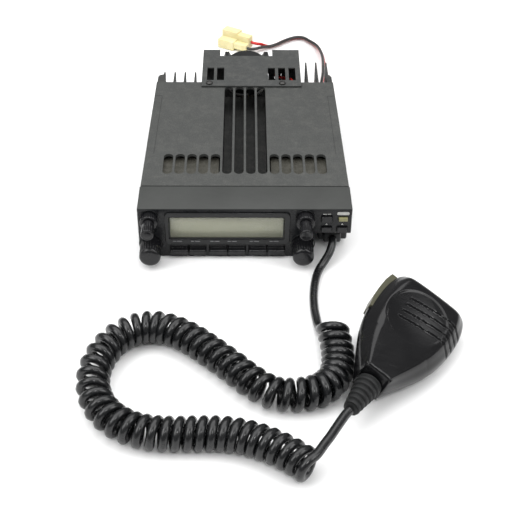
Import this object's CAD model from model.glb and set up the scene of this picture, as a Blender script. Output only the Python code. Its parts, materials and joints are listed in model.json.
"""The looks of the mobile transceiver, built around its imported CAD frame.

Metres, in the CAD's own frame: +Z up, the front panel faces -Y. back() turns a distance behind the
front panel's plane into a Y, as the CAD does.
"""

import json
from math import cos, pi, radians, sin, sqrt, tau

import bmesh
import bpy
import numpy as np
from mathutils import Matrix, Vector
from mathutils.geometry import delaunay_2d_cdt


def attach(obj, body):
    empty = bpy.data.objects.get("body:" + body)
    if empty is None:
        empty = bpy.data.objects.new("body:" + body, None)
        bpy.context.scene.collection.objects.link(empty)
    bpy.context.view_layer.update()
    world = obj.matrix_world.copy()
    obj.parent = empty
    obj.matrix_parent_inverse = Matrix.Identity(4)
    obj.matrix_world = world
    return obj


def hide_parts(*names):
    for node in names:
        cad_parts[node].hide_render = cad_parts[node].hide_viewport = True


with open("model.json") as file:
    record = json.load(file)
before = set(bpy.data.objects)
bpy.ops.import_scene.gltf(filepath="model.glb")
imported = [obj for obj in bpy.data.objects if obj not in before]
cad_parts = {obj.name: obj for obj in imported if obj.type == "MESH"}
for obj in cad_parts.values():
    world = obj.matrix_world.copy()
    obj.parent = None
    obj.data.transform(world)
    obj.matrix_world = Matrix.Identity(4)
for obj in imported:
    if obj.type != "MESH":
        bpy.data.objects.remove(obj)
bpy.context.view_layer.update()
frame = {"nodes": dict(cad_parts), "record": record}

BODY_LENGTH, HEIGHT = 0.1645, 0.040


def back(distance):
    """The Y of a place that is this far behind the front panel's plane."""
    return distance - BODY_LENGTH / 2


# Camera and light ---------------------------------------------------------------------------------
CAMERA_PLACE = (0.0001, back(-0.5627), 0.4586)
CAMERA_PITCH, CAMERA_YAW, CAMERA_ROLL = 0.6834, 0.0134, 0.0096
CAMERA_LENS, CAMERA_SENSOR, CAMERA_CLIP = 75.19, 36.0, 0.01      # millimetres, millimetres, metres
FLOOR_SIZE, FLOOR_SHADE, FLOOR_ROUGHNESS = 6.0, 0.88, 0.9
WORLD_STRENGTH = 0.30
# name: (place, the point it faces, (width, height), watts)
LIGHTS = {
    "overhead": ((-0.10, 0.30, 1.7), (0.0, -0.05, 0.0), (2.8, 2.0), 44),
    "window": ((-1.0, -0.7, 1.1), (0.0, -0.05, 0.0), (0.9, 0.9), 11),
    "fill": ((1.1, -0.5, 1.0), (0.0, -0.05, 0.0), (0.8, 0.8), 8),
    "front_lamp": ((0.15, -1.15, 1.45), (0.0, -0.1, 0.0), (0.34, 0.22), 6),
}

# Cords: each route is a centre line, as (x, distance back, z) -------------------------------------
MIC_CORD_DIAMETER, COIL_DIAMETER = 0.0055, 0.0204
POINTS_PER_TURN = 16
CORD_SPACING, WIRE_SPACING = 0.0025, 0.002     # between the points of a straight end, and of a wire
CURVE_STEPS = 24                                # steps of the smooth curve from one route point to the next
POWER_WIRE_DIAMETER = 0.0026
MIC_TAIL_ROUTE = (
    (0.0590, 0.0037, 0.0128), (0.0589, -0.0006, 0.0124), (0.0568, -0.0065, 0.0090),
    (0.0530, -0.0118, 0.0052), (0.0492, -0.0180, 0.0030), (0.0463, -0.0292, 0.0029),
    (0.0446, -0.0431, 0.0029), (0.0444, -0.0560, 0.0029), (0.0450, -0.0640, 0.0029),
    (0.0458, -0.0715, 0.0032), (0.0466, -0.0770, 0.0047),
)
# From one point of the coil's axis to the next there are TURNS_PER_STEP turns.
TURNS_PER_STEP, FIRST_TURN = 2, -0.3
LEAN, LEAN_TURNS = 0.0041, (2.0, 8.0)     # the first turns lean forward; it fades out between these
COIL_ROUTE = (
    (0.0540, -0.0840, 0.0104), (0.0555, -0.0994, 0.0104), (0.0553, -0.1125, 0.0104),
    (0.0525, -0.1243, 0.0104), (0.0446, -0.1334, 0.0104), (0.0324, -0.1378, 0.0104),
    (0.0177, -0.1372, 0.0104), (0.0043, -0.1278, 0.0104), (-0.0071, -0.1159, 0.0104),
    (-0.0189, -0.1043, 0.0104), (-0.0297, -0.0943, 0.0104), (-0.0413, -0.0861, 0.0104),
    (-0.0538, -0.0815, 0.0104), (-0.0662, -0.0834, 0.0104), (-0.0777, -0.0922, 0.0104),
    (-0.0855, -0.1075, 0.0104), (-0.0880, -0.1254, 0.0104), (-0.0840, -0.1426, 0.0104),
    (-0.0748, -0.1556, 0.0104), (-0.0624, -0.1637, 0.0104), (-0.0491, -0.1670, 0.0104),
    (-0.0360, -0.1676, 0.0104), (-0.0232, -0.1673, 0.0104), (-0.0107, -0.1677, 0.0104),
    (0.0016, -0.1704, 0.0104), (0.0133, -0.1755, 0.0104), (0.0250, -0.1827, 0.0104),
    (0.0356, -0.1914, 0.0104),
)
MIC_END_ROUTE = (
    (0.0386, -0.1883, 0.0176), (0.0433, -0.1807, 0.0175), (0.0463, -0.1761, 0.0175),
    (0.0505, -0.1689, 0.0175), (0.0555, -0.1605, 0.0175), (0.0583, -0.1569, 0.0175),
)
POWER_RED_ROUTE = (
    (0.0608, 0.1672, 0.0176), (0.0608, 0.1760, 0.0178), (0.0612, 0.1900, 0.0178),
    (0.0630, 0.2040, 0.0170), (0.0650, 0.2182, 0.0153), (0.0663, 0.2325, 0.0132),
    (0.0675, 0.2510, 0.0094), (0.0676, 0.2668, 0.0062), (0.0667, 0.2810, 0.0036),
    (0.0649, 0.2916, 0.0022), (0.0622, 0.2984, 0.0016), (0.0586, 0.3040, 0.0016),
    (0.0530, 0.3104, 0.0016), (0.0466, 0.3113, 0.0016), (0.0397, 0.3085, 0.0016),
    (0.0333, 0.3034, 0.0016), (0.0272, 0.2978, 0.0016), (0.0218, 0.2946, 0.0017),
    (0.0178, 0.2940, 0.0026), (0.0143, 0.2920, 0.0050), (0.0112, 0.2893, 0.0068),
    (0.0080, 0.2896, 0.0073), (0.0056, 0.2912, 0.0073),
)
POWER_BLACK_ROUTE = (
    (0.0604, 0.1672, 0.0206), (0.0604, 0.1760, 0.0208), (0.0608, 0.1900, 0.0208),
    (0.0628, 0.2040, 0.0200), (0.0645, 0.2179, 0.0182), (0.0655, 0.2320, 0.0161),
    (0.0665, 0.2506, 0.0122), (0.0666, 0.2662, 0.0090), (0.0656, 0.2800, 0.0064),
    (0.0636, 0.2902, 0.0047), (0.0608, 0.2964, 0.0040), (0.0574, 0.3016, 0.0036),
    (0.0524, 0.3077, 0.0034), (0.0466, 0.3086, 0.0034), (0.0405, 0.3059, 0.0034),
    (0.0343, 0.3009, 0.0034), (0.0282, 0.2952, 0.0034), (0.0222, 0.2915, 0.0034),
    (0.0178, 0.2903, 0.0035), (0.0138, 0.2880, 0.0039), (0.0096, 0.2852, 0.0042),
    (0.0056, 0.2838, 0.0044), (0.0022, 0.2854, 0.0044),
)


def link(obj):
    bpy.context.scene.collection.objects.link(obj)
    return obj


def make_camera():
    turn_cos, turn_sin = cos(CAMERA_YAW), sin(CAMERA_YAW)
    forward = Vector((turn_sin * cos(CAMERA_PITCH), turn_cos * cos(CAMERA_PITCH), -sin(CAMERA_PITCH)))
    level = Vector((turn_cos, -turn_sin, 0))
    upright = level.cross(forward)
    right = level * cos(CAMERA_ROLL) + upright * sin(CAMERA_ROLL)
    up = upright * cos(CAMERA_ROLL) - level * sin(CAMERA_ROLL)
    data = bpy.data.cameras.new("camera")
    data.lens = CAMERA_LENS
    data.sensor_width = CAMERA_SENSOR
    data.clip_start = CAMERA_CLIP
    camera = link(bpy.data.objects.new("camera", data))
    facing = Matrix((right, up, -forward)).transposed().to_4x4()
    camera.matrix_world = Matrix.Translation(CAMERA_PLACE) @ facing
    bpy.context.scene.camera = camera


def add_area_light(name, place, target, size, power):
    data = bpy.data.lights.new(name, "AREA")
    data.shape = "RECTANGLE"
    data.size, data.size_y = size
    data.energy = power
    light = link(bpy.data.objects.new(name, data))
    light.location = place
    light.rotation_euler = (Vector(target) - Vector(place)).to_track_quat("-Z", "Y").to_euler()


def make_stage():
    mesh = bpy.data.meshes.new("floor")
    shape = bmesh.new()
    bmesh.ops.create_grid(shape, x_segments=1, y_segments=1, size=FLOOR_SIZE)
    shape.to_mesh(mesh)
    shape.free()
    floor = link(bpy.data.objects.new("floor", mesh))
    material = bpy.data.materials.new("pale_floor")
    material.use_nodes = True
    shader = material.node_tree.nodes["Principled BSDF"]
    shader.inputs["Base Color"].default_value = (FLOOR_SHADE, FLOOR_SHADE, FLOOR_SHADE, 1.0)
    shader.inputs["Roughness"].default_value = FLOOR_ROUGHNESS
    mesh.materials.append(material)
    world = bpy.data.worlds.new("studio")
    bpy.context.scene.world = world
    world.use_nodes = True
    background = world.node_tree.nodes["Background"]
    background.inputs["Color"].default_value = (1.0, 1.0, 1.0, 1.0)
    background.inputs["Strength"].default_value = WORLD_STRENGTH
    for name, (place, target, size, power) in LIGHTS.items():
        add_area_light(name, place, target, size, power)
    bpy.context.scene.view_settings.view_transform = "Standard"


# Cords --------------------------------------------------------------------------------------------


def on_curve(a, b, c, d, t):
    """The point a share t of the way from b to c, on the smooth curve through all four points."""
    return 0.5 * (
        2 * b + (c - a) * t + (2 * a - 5 * b + 4 * c - d) * t**2 + (3 * b - a - 3 * c + d) * t**3
    )


def with_ends(route):
    """A route's points, with one more before and after it so that the curve reaches its ends."""
    knots = [Vector(point) for point in route]
    return [2 * knots[0] - knots[1], *knots, 2 * knots[-1] - knots[-2]]


def distances_along(line):
    lengths = [0.0]
    for first, second in zip(line, line[1:]):
        lengths.append(lengths[-1] + (second - first).length)
    return lengths


def points_at(line, lengths, targets):
    """The points at these distances along a line, whose own points lie at lengths."""
    points, index = [], 0
    for target in targets:
        while index < len(line) - 2 and lengths[index + 1] < target:
            index += 1
        part = (target - lengths[index]) / (lengths[index + 1] - lengths[index])
        points.append(line[index].lerp(line[index + 1], part))
    return points


def smooth_points(route, spacing):
    """Evenly spaced points on the smooth curve through a route's points."""
    knots = with_ends(route)
    fine = [
        on_curve(*four, step / CURVE_STEPS)
        for four in zip(knots, knots[1:], knots[2:], knots[3:]) for step in range(CURVE_STEPS)
    ]
    fine.append(knots[-2])
    lengths = distances_along(fine)
    count = max(2, round(lengths[-1] / spacing) + 1)
    return points_at(fine, lengths, [lengths[-1] * i / (count - 1) for i in range(count)])


def placed(route):
    return [(x, back(distance), z) for x, distance, z in route]


def tube(name, points, diameter, material, resolution=5):
    curve = bpy.data.curves.new(name, "CURVE")
    curve.dimensions = "3D"
    curve.bevel_depth = diameter / 2
    curve.bevel_resolution = resolution
    curve.use_fill_caps = True
    spline = curve.splines.new("POLY")
    spline.points.add(len(points) - 1)
    for place, point in zip(spline.points, points):
        place.co = (*point, 1.0)
    spline.use_smooth = True
    obj = link(bpy.data.objects.new(name, curve))
    curve.materials.append(material)
    return obj


def curl_points():
    """The curly cord: a left-handed helix round the coil's axis, at its top at every point of the route."""
    radius = (COIL_DIAMETER - MIC_CORD_DIAMETER) / 2
    knots = with_ends(placed(COIL_ROUTE))
    upward = Vector((0, 0, 1))
    fade_start, fade_end = LEAN_TURNS
    last_turn = TURNS_PER_STEP * (len(COIL_ROUTE) - 1)
    count = round((last_turn - FIRST_TURN) * POINTS_PER_TURN)
    points = []
    for i in range(count + 1):
        turn = FIRST_TURN + (last_turn - FIRST_TURN) * i / count
        step = min(max(int(turn / TURNS_PER_STEP), 0), len(COIL_ROUTE) - 2)
        t = turn / TURNS_PER_STEP - step
        a, b, c, d = knots[step:step + 4]
        centre = on_curve(a, b, c, d, t)
        slope = (c - a) + 2 * (2 * a - 5 * b + 4 * c - d) * t + 3 * (3 * b - a - 3 * c + d) * t**2
        along = slope.normalized()
        outward = upward.cross(along)
        angle = pi / 2 - tau * turn
        lean = LEAN * min(max((fade_end - turn) / (fade_end - fade_start), 0.0), 1.0)
        points.append(centre + radius * cos(angle) * outward + sin(angle) * (radius * upward + lean * along))
    return points


def make_mic_cord(materials):
    curl = curl_points()
    tail = placed(MIC_TAIL_ROUTE) + [curl[0]]
    end = [curl[-1]] + placed(MIC_END_ROUTE)
    line = smooth_points(tail, CORD_SPACING)[:-1] + curl + smooth_points(end, CORD_SPACING)[1:]
    cord = tube("mic_cord", line, MIC_CORD_DIAMETER, materials["cord"])
    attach(cord, "root")
    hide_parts("mic_cord_tail", "mic_cord_coil", "mic_cord_end")


def make_power_wires(materials):
    for name, route, material in (
        ("power_wire_red", POWER_RED_ROUTE, "wire_red"),
        ("power_wire_black", POWER_BLACK_ROUTE, "wire_black"),
    ):
        line = smooth_points(placed(route), WIRE_SPACING)
        wire = tube(name, line, POWER_WIRE_DIAMETER, materials[material])
        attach(wire, "root")
        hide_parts(name.replace("wire", "lead"))


# Materials ----------------------------------------------------------------------------------------


class Nodes:
    """Short names for the nodes that the materials below are made of."""

    def __init__(self, name):
        self.material = bpy.data.materials.new(name)
        self.material.use_nodes = True
        self.tree = self.material.node_tree
        self.shader = self.tree.nodes["Principled BSDF"]
        self.place = self.tree.nodes.new("ShaderNodeTexCoord").outputs["Object"]

    def set(self, **values):
        for name, value in values.items():
            self.shader.inputs[name.replace("_", " ")].default_value = value

    def link(self, source, target):
        self.tree.links.new(source, target)

    def stretched(self, scale):
        node = self.tree.nodes.new("ShaderNodeMapping")
        node.inputs["Scale"].default_value = scale
        self.link(self.place, node.inputs["Vector"])
        return node.outputs["Vector"]

    def noise(self, scale, detail=4.0, roughness=0.55, vector=None):
        node = self.tree.nodes.new("ShaderNodeTexNoise")
        node.inputs["Scale"].default_value = scale
        node.inputs["Detail"].default_value = detail
        node.inputs["Roughness"].default_value = roughness
        self.link(vector or self.place, node.inputs["Vector"])
        return node.outputs["Fac"]

    def voronoi(self, scale):
        node = self.tree.nodes.new("ShaderNodeTexVoronoi")
        node.inputs["Scale"].default_value = scale
        self.link(self.place, node.inputs["Vector"])
        return node.outputs["Distance"]

    def ramp(self, source, low, high, start=0.0, end=1.0):
        """source from start to end, spread over low to high."""
        node = self.tree.nodes.new("ShaderNodeMapRange")
        node.inputs["From Min"].default_value = start
        node.inputs["From Max"].default_value = end
        node.inputs["To Min"].default_value = low
        node.inputs["To Max"].default_value = high
        self.link(source, node.inputs["Value"])
        return node.outputs["Result"]

    def math(self, operation, first, second):
        node = self.tree.nodes.new("ShaderNodeMath")
        node.operation = operation
        for value, socket in ((first, node.inputs[0]), (second, node.inputs[1])):
            if isinstance(value, (int, float)):
                socket.default_value = value
            else:
                self.link(value, socket)
        return node.outputs["Value"]

    def mix(self, factor, first, second):
        node = self.tree.nodes.new("ShaderNodeMix")
        node.data_type = "RGBA"
        self.link(factor, node.inputs["Factor"])
        for value, socket in ((first, node.inputs["A"]), (second, node.inputs["B"])):
            if isinstance(value, tuple):
                socket.default_value = (*value, 1.0)
            else:
                self.link(value, socket)
        return node.outputs["Result"]

    def upward(self):
        """1 on a surface that faces up, 0 on a side or underside."""
        node = self.tree.nodes.new("ShaderNodeNewGeometry")
        split = self.tree.nodes.new("ShaderNodeSeparateXYZ")
        self.link(node.outputs["Normal"], split.inputs["Vector"])
        return self.ramp(split.outputs["Z"], 0.0, 1.0, 0.2, 0.9)

    def bump(self, *layers):
        """Stacks bump layers, each (height, distance in metres)."""
        normal = None
        for height, distance in layers:
            node = self.tree.nodes.new("ShaderNodeBump")
            node.inputs["Distance"].default_value = distance
            self.link(height, node.inputs["Height"])
            if normal is not None:
                self.link(normal, node.inputs["Normal"])
            normal = node.outputs["Normal"]
        self.link(normal, self.shader.inputs["Normal"])

    def colour(self, source):
        self.link(source, self.shader.inputs["Base Color"])

    def roughness(self, source):
        self.link(source, self.shader.inputs["Roughness"])


def shaded(colour, factor):
    return tuple(factor * c for c in colour)


def painted_metal(name, colour, dust, grain=2600.0, roughness=(0.52, 0.66)):
    """A fine wrinkle paint with a little dust on what faces up."""
    n = Nodes(name)
    n.set(Metallic=0.0, Specular_IOR_Level=0.35)
    cloud = n.noise(28.0, 3.0)
    shade = n.mix(n.ramp(cloud, 0.0, 1.0, 0.35, 0.65), shaded(colour, 0.95), shaded(colour, 1.05))
    specks = n.ramp(n.noise(1100.0, 2.0), 0.0, 1.0, 0.50, 0.68)
    shade = n.mix(n.math("MULTIPLY", specks, 0.5), shade, shaded(colour, 1.9))
    pits = n.ramp(n.noise(1300.0, 2.0), 0.0, 0.55, 0.52, 0.66)
    shade = n.mix(pits, shade, shaded(colour, 0.55))
    film = n.math("MULTIPLY", n.upward(), n.ramp(n.noise(160.0, 6.0, 0.75), 0.0, dust, 0.46, 0.72))
    n.colour(n.mix(film, shade, (0.30, 0.29, 0.26)))
    n.roughness(n.ramp(n.noise(90.0, 4.0), *roughness, 0.3, 0.7))
    n.bump((n.noise(grain, 2.0, 0.6), 0.00006), (n.noise(700.0, 2.0), 0.00003))
    return n.material


def moulded_plastic(name, colour, roughness=(0.30, 0.42), dust=0.10, specular=0.4):
    """A fine-grained moulding, a little handled."""
    n = Nodes(name)
    n.set(Specular_IOR_Level=specular)
    smudge = n.noise(45.0, 4.0)
    shade = n.mix(n.ramp(smudge, 0.0, 1.0, 0.35, 0.7), shaded(colour, 0.9), shaded(colour, 1.15))
    specks = n.math("MULTIPLY", n.ramp(n.noise(900.0, 3.0, 0.7), 0.0, 1.0, 0.66, 0.80), dust * 2.0)
    n.colour(n.mix(specks, shade, (0.34, 0.33, 0.30)))
    n.roughness(n.ramp(n.noise(110.0, 5.0, 0.65), *roughness, 0.35, 0.7))
    n.bump((n.noise(3200.0, 2.0, 0.6), 0.00002))
    return n.material


def front_moulding(name, colour, top_colour):
    """The front unit: fine-textured paint on what faces up, a semi-gloss moulding elsewhere."""
    n = Nodes(name)
    n.set(Specular_IOR_Level=0.28)
    top = n.upward()
    cloud = n.ramp(n.noise(28.0, 3.0), 0.0, 1.0, 0.35, 0.65)
    paint = n.mix(cloud, shaded(top_colour, 0.9), shaded(top_colour, 1.1))
    smudge = n.ramp(n.noise(45.0, 4.0), 0.0, 1.0, 0.35, 0.7)
    face = n.mix(smudge, shaded(colour, 0.9), shaded(colour, 1.2))
    worn = n.math("MULTIPLY", n.ramp(n.noise(520.0, 4.0, 0.75), 0.0, 0.5, 0.70, 0.80), top)
    n.colour(n.mix(worn, n.mix(top, face, paint), (0.30, 0.30, 0.28)))
    smooth = n.ramp(n.noise(110.0, 5.0, 0.65), 0.22, 0.34, 0.35, 0.7)
    n.roughness(n.math("ADD", smooth, n.math("MULTIPLY", top, 0.34)))
    n.bump((n.noise(2600.0, 2.0, 0.6), 0.00004))
    return n.material


def polished_plastic(name, colour):
    """The microphone's glossy shell: faint hairline scratches and a trace of dust."""
    n = Nodes(name)
    n.set(Specular_IOR_Level=0.26, Coat_Weight=0.12, Coat_Roughness=0.06)
    specks = n.math("MULTIPLY", n.ramp(n.noise(700.0, 3.0, 0.7), 0.0, 1.0, 0.68, 0.82), 0.10)
    n.colour(n.mix(specks, colour, (0.35, 0.34, 0.32)))
    scratches = n.noise(60.0, 6.0, 0.8, n.stretched((1.0, 9.0, 1.0)))
    smudge = n.noise(38.0, 4.0, 0.6)
    n.roughness(n.ramp(n.math("ADD", scratches, smudge), 0.16, 0.30, 0.75, 1.3))
    n.bump((n.noise(120.0, 3.0), 0.00002), (scratches, 0.000004))
    return n.material


def soft_jacket(name, colour, roughness=(0.34, 0.46), dust=0.14):
    """A cord's satin jacket or a wire's insulation."""
    n = Nodes(name)
    n.set(Specular_IOR_Level=0.45)
    cloud = n.noise(70.0, 4.0)
    shade = n.mix(n.ramp(cloud, 0.0, 1.0, 0.35, 0.65), shaded(colour, 0.85), shaded(colour, 1.2))
    specks = n.math("MULTIPLY", n.ramp(n.noise(800.0, 3.0, 0.7), 0.0, 1.0, 0.62, 0.80), dust)
    n.colour(n.mix(specks, shade, (0.40, 0.38, 0.34)))
    n.roughness(n.ramp(n.noise(300.0, 3.0), *roughness, 0.35, 0.7))
    n.bump((n.noise(1500.0, 2.0), 0.00002))
    return n.material


def matte_rubber(name, colour):
    n = Nodes(name)
    n.set(Specular_IOR_Level=0.35)
    cloud = n.noise(90.0, 4.0)
    n.colour(n.mix(n.ramp(cloud, 0.0, 1.0, 0.35, 0.7), shaded(colour, 0.85), shaded(colour, 1.3)))
    n.roughness(n.ramp(n.noise(240.0, 4.0), 0.55, 0.72, 0.3, 0.7))
    n.bump((n.noise(1700.0, 3.0), 0.00004))
    return n.material


def plated_steel(name, colour, dust):
    n = Nodes(name)
    n.set(Metallic=1.0)
    streaks = n.noise(55.0, 5.0, 0.7, n.stretched((1.0, 7.0, 1.0)))
    grime = n.math("MULTIPLY", n.ramp(n.noise(75.0, 6.0, 0.7), 0.0, 1.0, 0.38, 0.66), dust)
    n.colour(n.mix(grime, n.mix(streaks, shaded(colour, 0.8), colour), (0.10, 0.095, 0.085)))
    n.roughness(n.ramp(streaks, 0.34, 0.58, 0.3, 0.7))
    n.bump((streaks, 0.00002))
    return n.material


def cream_nylon(name):
    n = Nodes(name)
    n.set(Subsurface_Weight=0.25, Subsurface_Scale=0.0015)
    n.shader.inputs["Subsurface Radius"].default_value = (1.0, 0.8, 0.4)
    cloud = n.noise(120.0, 4.0)
    shade = n.mix(n.ramp(cloud, 0.0, 1.0, 0.3, 0.7), (0.70, 0.62, 0.32), (0.77, 0.70, 0.41))
    grime = n.ramp(n.noise(420.0, 5.0, 0.7), 0.0, 0.5, 0.60, 0.78)
    n.colour(n.mix(grime, shade, (0.42, 0.34, 0.18)))
    n.roughness(n.ramp(n.noise(260.0, 3.0), 0.36, 0.52, 0.3, 0.7))
    n.bump((n.noise(900.0, 2.0), 0.00003))
    return n.material


def unlit_display(name):
    """A switched-off reflective display: grey-olive, with a faint mottle and a fine row pattern."""
    n = Nodes(name)
    n.set(Coat_Weight=0.4, Coat_Roughness=0.12)
    split = n.tree.nodes.new("ShaderNodeSeparateXYZ")
    n.link(n.place, split.inputs["Vector"])
    fade = n.ramp(split.outputs["X"], 0.0, 1.0, -0.055, 0.035)
    shade = n.mix(fade, (0.245, 0.250, 0.150), (0.215, 0.222, 0.135))
    mottle = n.ramp(n.noise(220.0, 3.0), 0.0, 0.35, 0.40, 0.70)
    n.colour(n.mix(mottle, shade, (0.270, 0.272, 0.172)))
    n.roughness(n.ramp(n.noise(400.0, 2.0), 0.30, 0.42, 0.3, 0.7))
    n.bump((n.noise(1600.0, 2.0), 0.00002))
    return n.material


def clear_pane(name):
    n = Nodes(name)
    n.set(Base_Color=(0.95, 0.96, 0.92, 1.0), Roughness=0.06, Alpha=0.06, IOR=1.49, Specular_IOR_Level=0.3)
    n.bump((n.noise(30.0, 2.0), 0.00001))
    return n.material


def circuit_board(name):
    n = Nodes(name)
    tracks = n.ramp(n.voronoi(420.0), 0.0, 1.0, 0.25, 0.32)
    n.colour(n.mix(tracks, (0.010, 0.085, 0.030), (0.022, 0.150, 0.055)))
    n.roughness(n.ramp(n.noise(200.0, 3.0), 0.30, 0.45))
    n.bump((tracks, 0.00003))
    return n.material


def make_materials():
    return {
        "top_paint": painted_metal("top_paint", (0.046, 0.048, 0.046), 0.08),
        "casting": painted_metal("casting", (0.030, 0.031, 0.030), 0.12, grain=1800.0),
        "fan_cover": painted_metal("fan_cover_paint", (0.042, 0.044, 0.043), 0.10),
        "front": front_moulding("front_moulding", (0.008, 0.0085, 0.0095), (0.044, 0.046, 0.044)),
        "knob": moulded_plastic("knob_moulding", (0.007, 0.007, 0.008), (0.20, 0.32), 0.03, specular=0.35),
        "gloss_front": moulded_plastic(
            "bezel_moulding", (0.007, 0.0075, 0.008), (0.12, 0.22), 0.03, specular=0.30
        ),
        "gloss": polished_plastic("polished_shell", (0.0040, 0.0040, 0.0046)),
        "black": moulded_plastic(
            "plain_black_moulding", (0.010, 0.0105, 0.011), (0.36, 0.50), 0.05, specular=0.3
        ),
        "lever": moulded_plastic("lever_moulding", (0.060, 0.058, 0.034), (0.34, 0.46)),
        "olive_key": moulded_plastic("olive_key", (0.230, 0.220, 0.110), (0.25, 0.36), 0.03),
        "label": moulded_plastic("pale_ink", (0.46, 0.46, 0.44), (0.5, 0.6), 0.03),
        "faint_label": moulded_plastic("worn_ink", (0.16, 0.16, 0.165), (0.5, 0.6), 0.03),
        "cord": soft_jacket("cord_jacket", (0.0060, 0.0064, 0.0070), (0.20, 0.30), 0.03),
        "wire_red": soft_jacket("red_insulation", (0.52, 0.018, 0.014), (0.36, 0.46), 0.04),
        "wire_black": soft_jacket("black_insulation", (0.020, 0.019, 0.018), (0.36, 0.46), 0.10),
        "rubber": matte_rubber("boot_rubber", (0.0065, 0.0070, 0.0072)),
        "steel": plated_steel("plated_steel", (0.52, 0.52, 0.50), 0.35),
        "dusty_steel": painted_metal(
            "dusty_shield", (0.050, 0.048, 0.038), 0.16, grain=900.0, roughness=(0.55, 0.75)
        ),
        "step_line": painted_metal("step_line_paint", (0.026, 0.027, 0.026), 0.02),
        "dark_steel": plated_steel("blackened_screw", (0.06, 0.06, 0.06), 0.3),
        "nylon": cream_nylon("cream_nylon"),
        "display": unlit_display("unlit_display"),
        "pane": clear_pane("clear_pane"),
        "board": circuit_board("circuit_board"),
    }


# Pieces -------------------------------------------------------------------------------------------


def stand_for(obj, name, material):
    """obj takes the place of a CAD node: it rides on that node's body and carries its finish."""
    bodies = frame["record"]["behaviour"]["bodies"]
    obj.data.materials.clear()
    obj.data.materials.append(material)
    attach(obj, next(body for body, nodes in bodies.items() if name in nodes))
    return obj


def mesh_object(name, shape, sharp=32):
    mesh = bpy.data.meshes.new(name)
    shape.to_mesh(mesh)
    shape.free()
    mesh.shade_smooth()
    mesh.set_sharp_from_angle(angle=radians(sharp))
    return link(bpy.data.objects.new(name, mesh))


def round_edges(obj, width):
    modifier = obj.modifiers.new("Rounding", "BEVEL")
    modifier.width = width
    modifier.segments = 3
    modifier.limit_method = "ANGLE"
    modifier.angle_limit = radians(35)
    modifier.harden_normals = True


def replace_node(obj, name, material):
    """obj is shown in place of a CAD node."""
    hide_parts(name)
    return stand_for(obj, name, material)


def bridge(shape, first, second, closed=True):
    """Faces from one row of vertices to the next, or from one ring to the next."""
    for i in range(len(first) if closed else len(first) - 1):
        j = (i + 1) % len(first)
        shape.faces.new((first[i], first[j], second[j], second[i]))


def add_loft(shape, rings):
    """A closed solid through rings of points, with a face over its first and its last."""
    loops = [[shape.verts.new(point) for point in ring] for ring in rings]
    for first, second in zip(loops, loops[1:]):
        bridge(shape, first, second)
    for loop in (loops[0], loops[-1]):
        shape.faces.new(loop)


def loft_object(name, rings, sharp=32):
    shape = bmesh.new()
    add_loft(shape, rings)
    bmesh.ops.recalc_face_normals(shape, faces=shape.faces)
    return mesh_object(name, shape, sharp)


def refine(name, material, width):
    """The CAD node with its flat faces joined up and its edges rounded."""
    node = frame["nodes"][name]
    shape = bmesh.new()
    shape.from_mesh(node.data)
    shape.transform(node.matrix_world)
    bmesh.ops.remove_doubles(shape, verts=shape.verts, dist=1e-6)
    bmesh.ops.dissolve_limit(shape, angle_limit=radians(1.5), verts=shape.verts, edges=shape.edges)
    obj = mesh_object(name + "_fine", shape)
    round_edges(obj, width)
    replace_node(obj, name, material)


def turned_grip(name, rows, centre, flutes, depth):
    """A turned knob. rows are (radius, place along Y, whether it is fluted), from its front to its back."""
    x, y, z = centre
    steps = flutes * STEPS_PER_FLUTE
    rings = []
    for radius, along, fluted in rows:
        ring = []
        for i in range(steps):
            angle = tau * i / steps
            cut = depth * (0.5 - 0.5 * cos(flutes * angle)) ** 1.5 if fluted else 0.0
            r = radius - cut
            ring.append((x + r * cos(angle), y + along, z + r * sin(angle)))
        rings.append(ring)
    return loft_object(name, rings, 50)


def rounded_outline(x0, x1, z0, z1, radius, steps=6):
    points = []
    for x, z, start in ((x1, z1, 0.0), (x0, z1, pi / 2), (x0, z0, pi), (x1, z0, 3 * pi / 2)):
        cx = x - radius if x == x1 else x + radius
        cz = z - radius if z == z1 else z + radius
        for i in range(steps + 1):
            angle = start + pi / 2 * i / steps
            points.append((cx + radius * cos(angle), cz + radius * sin(angle)))
    return points


def circle(x, z, radius):
    angles = [tau * i / CIRCLE_STEPS for i in range(CIRCLE_STEPS)]
    return [(x + radius * cos(angle), z + radius * sin(angle)) for angle in angles]


def upright_plate(name, outlines, front, rear, rounding):
    """A plate that faces the front, from outlines of (x, z): the first is its edge, the others are holes."""
    curve = bpy.data.curves.new(name, "CURVE")
    curve.dimensions = "2D"
    curve.fill_mode = "BOTH"
    curve.extrude = (rear - front) / 2 - rounding
    curve.bevel_depth = rounding
    curve.bevel_resolution = 2
    curve.offset = -rounding
    for outline in outlines:
        spline = curve.splines.new("POLY")
        spline.points.add(len(outline) - 1)
        for place, (x, z) in zip(spline.points, outline):
            place.co = (x, z, 0.0, 1.0)
        spline.use_cyclic_u = True
    obj = link(bpy.data.objects.new(name, curve))
    middle = Matrix.Translation((0, (front + rear) / 2, 0))
    obj.matrix_world = middle @ Matrix.Rotation(pi / 2, 4, "X")
    return obj


def mark(name, outline, front, material, body_node="front_panel"):
    """A printed mark: a very thin plate on the front."""
    obj = upright_plate(name, [outline], front - INK, front + INK, INK * 0.4)
    stand_for(obj, body_node, material)


# Front unit
INK = 0.00012                   # half the thickness of a printed mark
STEPS_PER_FLUTE, CIRCLE_STEPS = 6, 48
DISPLAY_X, DISPLAY_Z = (-0.0505, 0.0265), (0.0155, 0.0340)
FRAME_X, FRAME_Z = (-0.0531, 0.0301), (0.0115, 0.0372)
KNOB_Z, DIAL_Z = 0.0322, 0.0110
KNOB_X = {"left": -0.0632, "right": 0.0400}
DIAL_X = {"left": -0.0628, "right": 0.0388}
RING_RADIUS = {"left": 0.0058, "right": 0.0061}
WELL_RIM = 0.0006


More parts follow.
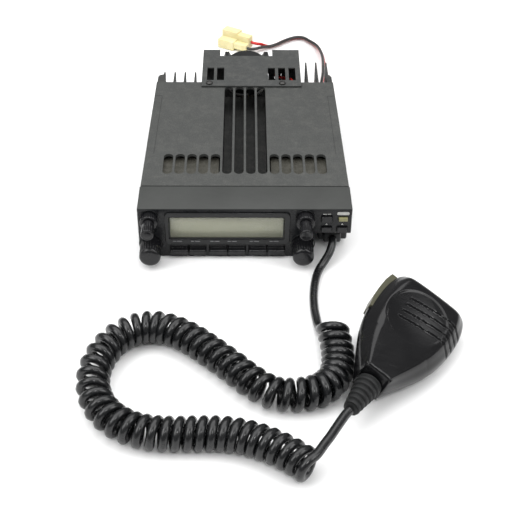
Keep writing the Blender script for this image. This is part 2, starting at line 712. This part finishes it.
def make_display_frame(materials):
    """The glossy frame round the display, its thin inner lip, and the small bars printed below it."""
    outer = rounded_outline(*FRAME_X, *FRAME_Z, 0.0030)
    hole = rounded_outline(*DISPLAY_X, *DISPLAY_Z, 0.0012)
    frame_piece = upright_plate("display_frame", [outer, hole], back(-0.0013), back(-0.0001), 0.0004)
    replace_node(frame_piece, "display_bezel", materials["gloss_front"])
    (x0, x1), (z0, z1) = DISPLAY_X, DISPLAY_Z
    lip_outer = rounded_outline(x0 + 0.0001, x1 - 0.0001, z0 + 0.0001, z1 - 0.0001, 0.0012)
    lip_inner = rounded_outline(x0 + 0.0009, x1 - 0.0009, z0 + 0.0008, z1 - 0.0008, 0.0010)
    lip = upright_plate("display_lip", [lip_outer, lip_inner], back(-0.0007), back(0.0002), 0.0002)
    stand_for(lip, "display_bezel", materials["black"])
    columns = (-0.0446, -0.0325, -0.0195, -0.0080, 0.0068, 0.0200)
    for i, x in enumerate(columns):
        for j, (shift, half) in enumerate(((-0.0024, 0.0011), (0.0010, 0.0017))):
            bar = rounded_outline(x + shift - half, x + shift + half, 0.01385, 0.01435, 0.0002, 2)
            mark(f"key_bar_{i + 1}_{j + 1}", bar, back(-0.00132), materials["faint_label"], "display_bezel")


def make_knobs(materials):
    for side in ("left", "right"):
        place = (KNOB_X[side], back(0), KNOB_Z)
        dished = side == "right"
        crown = [(0.0012, -0.0178 if dished else -0.0187), (0.0026, -0.0179 if dished else -0.0186)]
        rows = [(r, y, False) for r, y in crown]
        rows += [
            (0.0031, -0.0184, False), (0.0035, -0.0186, False), (0.0040, -0.0184, False),
            (0.00425, -0.0180, False), (0.0043, -0.0174, True), (0.0043, -0.0124, True),
            (0.0041, -0.0118, False), (0.0040, -0.0072, False), (0.0022, -0.0071, False),
            (0.0022, 0.0084, False),
        ]
        knob = turned_grip(f"{side}_volume_grip", rows, place, 18, 0.00045)
        replace_node(knob, f"{side}_volume_knob", materials["knob"])
        ring = RING_RADIUS[side]
        rows = [
            (0.0027, -0.0063, False), (ring - 0.0012, -0.0065, False), (ring - 0.0005, -0.0063, False),
            (ring - 0.0001, -0.0058, False), (ring, -0.0052, True), (ring, -0.0014, True),
            (ring - 0.0004, -0.0006, False), (0.0034, -0.0005, False), (0.0034, 0.0058, False),
            (0.0027, 0.0059, False),
        ]
        collar = turned_grip(f"{side}_squelch_grip", rows, place, 22, 0.00060)
        replace_node(collar, f"{side}_squelch_ring", materials["knob"])
        rows = [
            (0.0010, -0.0161, False), (0.0044, -0.01615, False), (0.0052, -0.0160, False),
            (0.0061, -0.0157, False), (0.0067, -0.0151, False), (0.00705, -0.0143, False),
            (0.0071, -0.0136, False), (0.0068, -0.0132, False), (0.0072, -0.0127, True),
            (0.0072, -0.0030, True), (0.0069, -0.0022, False), (0.0069, -0.0006, False),
            (0.0022, -0.0005, False), (0.0022, 0.0084, False),
        ]
        dial = turned_grip(f"{side}_dial_grip", rows, (DIAL_X[side], back(0), DIAL_Z), 26, 0.00055)
        replace_node(dial, f"{side}_tuning_dial", materials["knob"])
        # The moulded wells round the controls
        for name, (x, z), radius in (
            ("volume_well", (KNOB_X[side], KNOB_Z), 0.0070), ("dial_well", (DIAL_X[side], DIAL_Z), 0.0082),
        ):
            outlines = [circle(x, z, radius), circle(x, z, radius - WELL_RIM)]
            well = upright_plate(f"{side}_{name}", outlines, back(-0.0004), back(0.0003), 0.0002)
            stand_for(well, "front_panel", materials["gloss_front"])


def make_side_marks(materials):
    pill = rounded_outline(0.0608, 0.0690, 0.0352, 0.0376, 0.00115, 6)
    mark("power_label", pill, back(0.0), materials["label"])
    for i, x in enumerate((0.0542, 0.0646)):
        arrow = [(x - 0.0007, 0.0272), (x + 0.0007, 0.0272), (x, 0.0284)]
        mark(f"side_arrow_{i + 1}", arrow, back(0.0), materials["label"])
    for i, (x0, x1) in enumerate(((0.0516, 0.0540), (0.0546, 0.0568))):
        bar = rounded_outline(x0, x1, 0.0356, 0.0361, 0.0002, 2)
        mark(f"side_bar_{i + 1}", bar, back(0.0), materials["label"])


# Microphone, in its own frame: X to its right, Y towards its head, Z out of its face, in metres
MIC_CENTRE, MIC_HEADING, MIC_ROLL = (0.0979, -0.0936, 0.0175), radians(58), radians(22)
MIC_HALF_OUTLINE = (
    (0.0000, 0.0368), (0.0100, 0.0366), (0.0180, 0.0358), (0.0232, 0.0330), (0.0264, 0.0270),
    (0.0282, 0.0170), (0.0283, 0.0030), (0.0268, -0.0100), (0.0238, -0.0215), (0.0192, -0.0320),
    (0.0140, -0.0420), (0.0092, -0.0505),
)
# From the parting line up the side: (height, how far the outline is moved in)
SIDE_LEVELS = (
    (0.00015, 0.0005), (0.0005, 0.0001), (0.0016, 0.0002), (0.0027, 0.0005), (0.0036, 0.0008),
    (0.0045, 0.0012), (0.0053, 0.0017), (0.0061, 0.0024), (0.0069, 0.0032), (0.0076, 0.0039),
    (0.0083, 0.0045), (0.0090, 0.0051), (0.0096, 0.0057), (0.0102, 0.0063), (0.0107, 0.0070),
    (0.0111, 0.0077), (0.0114, 0.0085), (0.0116, 0.0093), (0.0118, 0.0103),
)
REAR_LEVELS = (
    (-0.00015, 0.0006), (-0.0008, 0.0004), (-0.0030, 0.0008), (-0.0050, 0.0016), (-0.0070, 0.0030),
    (-0.0085, 0.0047), (-0.0097, 0.0068), (-0.0103, 0.0090),
)
DISH_CENTRE, DISH_AXES, DISH_DEPTH = (-0.0005, 0.0035), (0.0200, 0.0215), 0.0030
GROOVE_FIRST, GROOVE_PITCH, GROOVE_COUNT, GROOVE_DEPTH = -0.0022, 0.0055, 4, 0.0013
GROOVE_LEFT, GROOVE_HALF = -0.0112, 0.0010
BOOT_RIBS, BOOT_PITCH, BOOT_SMALL, BOOT_LARGE = 6, 0.0036, 0.0050, 0.0078
OUTLINE_POINTS, FACE_SPACING = 560, 0.00042


def mic_matrix():
    x, distance, z = MIC_CENTRE
    turn = Matrix.Rotation(MIC_HEADING - pi / 2, 4, "Z") @ Matrix.Rotation(MIC_ROLL, 4, "Y")
    return Matrix.Translation((x, back(distance), z)) @ turn


def closed_outline(count):
    """Even points and inward directions round the microphone's outline, which is flat at its lower end."""
    right = [Vector((x, y, 0)) for x, y in MIC_HALF_OUTLINE]
    left = [Vector((-p.x, p.y, 0)) for p in reversed(right[1:])]
    corners = right + [right[-1].lerp(left[0], part) for part in (0.15, 0.5, 0.85)] + left
    fine = []
    size = len(corners)
    for k in range(size):
        four = [corners[(k + shift) % size] for shift in (-1, 0, 1, 2)]
        fine += [on_curve(*four, step / CURVE_STEPS) for step in range(CURVE_STEPS)]
    fine.append(fine[0])
    lengths = distances_along(fine)
    points = points_at(fine, lengths, [lengths[-1] * i / count for i in range(count)])
    inward = []
    for i in range(count):
        along = (points[(i + 1) % count] - points[i - 1]).normalized()
        inward.append(Vector((along.y, -along.x, 0)))
    return points, inward


def level_ring(points, inward, height, inset):
    ring = []
    for point, direction in zip(points, inward):
        blunt = min(1.0, (point.y + 0.0505) / 0.030)
        place = point + inset * (0.3 + 0.7 * max(blunt, 0.0)) * direction
        ring.append(Vector((place.x, place.y, height)))
    return ring


def smooth_step(value, low, high):
    t = min(max((value - low) / (high - low), 0.0), 1.0)
    return t * t * (3 - 2 * t)


def face_cut(point):
    """How far the face is sunk at a point: the oval dish, and the grooves that run over the right side."""
    x, y, z = point
    across, along = (x - DISH_CENTRE[0]) / DISH_AXES[0], (y - DISH_CENTRE[1]) / DISH_AXES[1]
    out = sqrt(across * across + along * along)
    low_left = min(max(0.55 - 0.42 * across - 0.60 * along, 0.0), 1.0)
    bowl = (1 - smooth_step(out, 0.92, 1.0)) * 0.35 + 0.65 * max(1 - out * out, 0.0)
    cut = DISH_DEPTH * bowl * (0.25 + 0.75 * low_left)
    arch = 0.0026 * (1 - ((x - 0.0125) / 0.023) ** 2)
    for k in range(GROOVE_COUNT):
        off = abs(y - GROOVE_FIRST - GROOVE_PITCH * k - arch)
        inside = 1 - smooth_step(off, GROOVE_HALF * 0.5, GROOVE_HALF * 1.1)
        inside *= smooth_step(x, GROOVE_LEFT, GROOVE_LEFT + 0.0014)
        cut += GROOVE_DEPTH * inside * smooth_step(z, 0.0030, 0.0045)
    return cut


def inner_points(outline, spacing, margin):
    """Points of an even grid that lie inside an outline, at least a margin from its corners' lines."""
    edge = np.array([(p.x, p.y) for p in outline])
    xs = np.arange(edge[:, 0].min(), edge[:, 0].max(), spacing)
    ys = np.arange(edge[:, 1].min(), edge[:, 1].max(), spacing)
    grid = np.array([(x, y) for y in ys for x in xs])
    inside = np.zeros(len(grid), bool)
    for (x0, y0), (x1, y1) in zip(edge, np.roll(edge, -1, axis=0)):
        if y0 == y1:
            continue
        crosses = ((y0 > grid[:, 1]) != (y1 > grid[:, 1])) & (
            grid[:, 0] < (x1 - x0) * (grid[:, 1] - y0) / (y1 - y0) + x0
        )
        inside ^= crosses
    near = np.full(len(grid), np.inf)
    for corner in edge[::2]:
        near = np.minimum(near, np.hypot(*(grid - corner).T))
    return grid[inside & (near > margin)]


def shell_mesh(name, levels, cut=None):
    """A shell half: up the levels of its side, then a face over its last level."""
    points, inward = closed_outline(OUTLINE_POINTS)
    rings = [level_ring(points, inward, height, inset) for height, inset in levels]
    if cut:
        for k, ring in enumerate(rings):
            below, above = levels[max(k - 1, 0)], levels[min(k + 1, len(levels) - 1)]
            rise, run = above[0] - below[0], above[1] - below[1]
            flat, up = rise / sqrt(rise * rise + run * run), run / sqrt(rise * rise + run * run)
            for i, place in enumerate(ring):
                ring[i] = place + cut(place) * (flat * inward[i] - up * Vector((0, 0, 1)))
    shape = bmesh.new()
    loops = [[shape.verts.new(point) for point in ring] for ring in rings]
    for first, second in zip(loops, loops[1:]):
        bridge(shape, first, second)
    shape.faces.new(loops[0])
    if cut:
        last = level_ring(points, inward, *levels[-1])
        inner = inner_points(last, FACE_SPACING, FACE_SPACING)
        flat = [Vector((1000 * p.x, 1000 * p.y)) for p in last] + [Vector(1000 * place) for place in inner]
        found = delaunay_2d_cdt(flat, [], [list(range(OUTLINE_POINTS))], 1, 1e-6)
        vertices = {}
        for index, place in enumerate(found[0]):
            source = found[3][index]
            if source and min(source) < OUTLINE_POINTS:
                vertices[index] = loops[-1][min(source)]
            else:
                here = Vector((place.x / 1000, place.y / 1000, levels[-1][0]))
                vertices[index] = shape.verts.new(here - cut(here) * Vector((0, 0, 1)))
        for face in found[2]:
            shape.faces.new([vertices[index] for index in face])
    else:
        shape.faces.new(loops[-1])
    bmesh.ops.recalc_face_normals(shape, faces=shape.faces)
    shape.transform(mic_matrix())
    return mesh_object(name, shape, 60)


def make_microphone(materials):
    front = shell_mesh("mic_front_cover", SIDE_LEVELS, face_cut)
    rear = shell_mesh("mic_rear_cover", REAR_LEVELS)
    refine("ptt_lever", materials["lever"], 0.0005)
    for shell, name in ((front, "mic_front_shell"), (rear, "mic_rear_shell")):
        replace_node(shell, name, materials["gloss"])
    boot_rows = [(0.0010, -0.0233), (0.0032, -0.0234), (0.0044, -0.0230)]
    for i in range(BOOT_RIBS):
        y = -0.0222 + BOOT_PITCH * i
        wide = BOOT_SMALL + (BOOT_LARGE - BOOT_SMALL) * i / (BOOT_RIBS - 1)
        boot_rows += [
            (wide - 0.0011, y), (wide - 0.0002, y + 0.0003), (wide, y + 0.0009), (wide, y + 0.0021),
            (wide - 0.0002, y + 0.0026), (wide - 0.0011, y + 0.0029),
        ]
    boot_rows += [(0.0074, -0.0008), (0.0078, -0.0003), (0.0040, -0.0002), (0.0010, 0.0020)]
    shape_rows = [(radius, along, False) for radius, along in reversed(boot_rows)]
    boot = turned_grip("mic_boot", shape_rows, (0, MIC_HALF_OUTLINE[-1][1], 0), 8, 0.0)
    boot.data.transform(mic_matrix())
    replace_node(boot, "mic_strain_relief", materials["rubber"])


# Fan and covers
FAN_CENTRE, FAN_FRONT = (0.0012, 0.0208), 0.2042
BLADE_COUNT, BLADE_SWEEP, BLADE_HALF_THICK, BLADE_STEPS = 7, radians(33), 0.0003, 12
BLADE_MIDDLE, BLADE_RISE = 0.0043, 0.0027               # along the fan's axis: its middle, and to each edge
BLADE_RADII = (0.0084, 0.0110, 0.0140, 0.0174)
HUB_PROFILE = (
    (0.0020, 0.0006), (0.0070, 0.0007), (0.0082, 0.0011), (0.0087, 0.0020), (0.0087, 0.0074),
    (0.0020, 0.0074),
)
TAPER_START = 0.026
CHASSIS_HALF_FRONT, CHASSIS_TAPER = 0.0703, 0.0149      # half width where it starts, and how it draws in
SHELF_LINE_Y, SHELF_LINE_IN, LINE_WIDTH, LINE_HEIGHT = (0.0650, 0.1440), 0.0060, 0.00040, 0.00008
LEAD_GROMMET = ((0.0242, 0.2023, 0.0210), (0.0292, 0.2039, 0.0258))     # its two far corners


def make_fan_rotor(materials):
    """The impeller: a domed hub and broad blades that overlap, seen from the front."""
    centre = Vector((FAN_CENTRE[0], back(FAN_FRONT), FAN_CENTRE[1]))

    def round_the_axis(radius, along, angle):
        return centre + Vector((radius * cos(angle), along, radius * sin(angle)))

    shape = bmesh.new()
    circle_angles = [tau * i / CIRCLE_STEPS for i in range(CIRCLE_STEPS)]
    add_loft(shape, [[round_the_axis(r, y, angle) for angle in circle_angles] for r, y in HUB_PROFILE])
    for blade in range(BLADE_COUNT):
        start = tau * blade / BLADE_COUNT
        sheets = []
        for side in (-BLADE_HALF_THICK, BLADE_HALF_THICK):
            sheet = []
            for radius in BLADE_RADII:
                row = []
                for k in range(BLADE_STEPS + 1):
                    share = 2 * k / BLADE_STEPS - 1
                    along = BLADE_MIDDLE + BLADE_RISE * share + side
                    place = round_the_axis(radius, along, start + BLADE_SWEEP * share)
                    row.append(shape.verts.new(place))
                sheet.append(row)
            sheets.append(sheet)
        for sheet in sheets:
            for first, second in zip(sheet, sheet[1:]):
                bridge(shape, first, second, closed=False)
        for end in (0, -1):
            bridge(shape, *(sheet[end] for sheet in sheets), closed=False)
        for end in (0, -1):
            bridge(shape, *([row[end] for row in sheet] for sheet in sheets), closed=False)
    bmesh.ops.recalc_face_normals(shape, faces=shape.faces)
    replace_node(mesh_object("fan_impeller", shape, 40), "fan_rotor", materials["black"])


def make_cover_details(materials):
    """The lead's grommet in the fan cover's wall, and the faint step lines near the top cover's sides."""
    low, high = (Vector((x, back(distance), z)) for x, distance, z in LEAD_GROMMET)
    shape = bmesh.new()
    matrix = Matrix.LocRotScale((low + high) / 2, None, high - low)
    bmesh.ops.create_cube(shape, size=1.0, matrix=matrix)
    grommet = mesh_object("lead_grommet", shape)
    round_edges(grommet, 0.0003)
    stand_for(grommet, "fan_cover", materials["rubber"])
    start, end = SHELF_LINE_Y
    first, last = (
        CHASSIS_HALF_FRONT - CHASSIS_TAPER * (distance - TAPER_START) - SHELF_LINE_IN
        for distance in (start, end)
    )
    outline = [
        (first, start), (first + LINE_WIDTH, start), (last + LINE_WIDTH, end - LINE_WIDTH),
        (last + SHELF_LINE_IN * 0.95, end - LINE_WIDTH), (last + SHELF_LINE_IN * 0.95, end), (last, end),
    ]
    for side_name, side in (("left", -1), ("right", 1)):
        rings = [
            [(side * x, back(y), z) for x, y in outline]
            for z in (HEIGHT - LINE_HEIGHT, HEIGHT + LINE_HEIGHT)
        ]
        line = loft_object(f"step_line_{side_name}", rings)
        stand_for(line, "top_cover", materials["step_line"])


ROW_BUTTON_X = (
    (-0.0498, -0.0382), (-0.0372, -0.0262), (-0.0236, -0.0120),
    (-0.0110, 0.0004), (0.0029, 0.0145), (0.0155, 0.0268),
)
# A key's side, as (place along Y from the panel's plane, z)
ROW_BUTTON_SIDE = (
    (-0.0030, 0.0037), (-0.0030, 0.0066), (-0.0024, 0.0073), (0.0006, 0.0074), (0.0008, 0.0095),
    (0.0026, 0.0095), (0.0026, 0.0101), (0.0033, 0.0101), (0.0033, 0.0031), (0.0026, 0.0031),
    (0.0026, 0.0037),
)


def make_row_buttons(materials):
    """The keys below the display: a low lip with a step above it, in a slot of the panel."""
    for i, ends in enumerate(ROW_BUTTON_X):
        key = loft_object(f"row_key_{i + 1}", [[(x, back(y), z) for y, z in ROW_BUTTON_SIDE] for x in ends])
        round_edges(key, 0.0003)
        replace_node(key, f"function_button_{i + 1}", materials["knob"])


# The nodes that are shown as they are but for rounded edges, by look: how wide the rounding is
REFINED = {
    "casting": {"chassis": 0.00035},
    "top_paint": {"top_cover": 0.00035, "bottom_cover": 0.0003},
    "fan_cover": {"fan_cover": 0.0003},
    "front": {"front_panel": 0.0006},
    "black": {"mic_jack": 0.0006, "mic_plug": 0.0005, "fan_frame": 0.0003},
    "knob": {"top_left_button": 0.0005, "lower_left_button": 0.0005, "lower_right_button": 0.0005},
    "olive_key": {"power_button": 0.0005},
    "nylon": {"power_connector": 0.0006},
    "dark_steel": {"fan_cover_screw_left": 0.0002, "fan_cover_screw_right": 0.0002},
}
# The nodes that are shown as they are, by look
AS_MODELLED = {
    "steel": (
        "antenna_socket", "hanger_button", "power_module", "mic_element",
        "left_volume_control", "right_volume_control", "left_dial_encoder", "right_dial_encoder",
    ),
    "dusty_steel": ("shield_plate_left", "shield_plate_right"),
    "display": ("display_module",),
    "pane": ("display_window",),
    "board": ("logic_board", "main_board", "mic_board"),
    "black": ("speaker", "ptt_switch"),
    "rubber": ("power_grommet",),
    "wire_red": ("fan_lead",),
}


def dress_nodes(materials):
    """Gives every CAD node that stays visible its material."""
    for look, names in AS_MODELLED.items():
        for name in names:
            node = frame["nodes"][name]
            node.data.materials.clear()
            node.data.materials.append(materials[look])


def main():
    make_camera()
    make_stage()
    materials = make_materials()
    dress_nodes(materials)
    for look, widths in REFINED.items():
        for name, width in widths.items():
            refine(name, materials[look], width)
    make_display_frame(materials)
    make_knobs(materials)
    make_side_marks(materials)
    make_row_buttons(materials)
    make_fan_rotor(materials)
    make_cover_details(materials)
    make_microphone(materials)
    make_mic_cord(materials)
    make_power_wires(materials)


main()
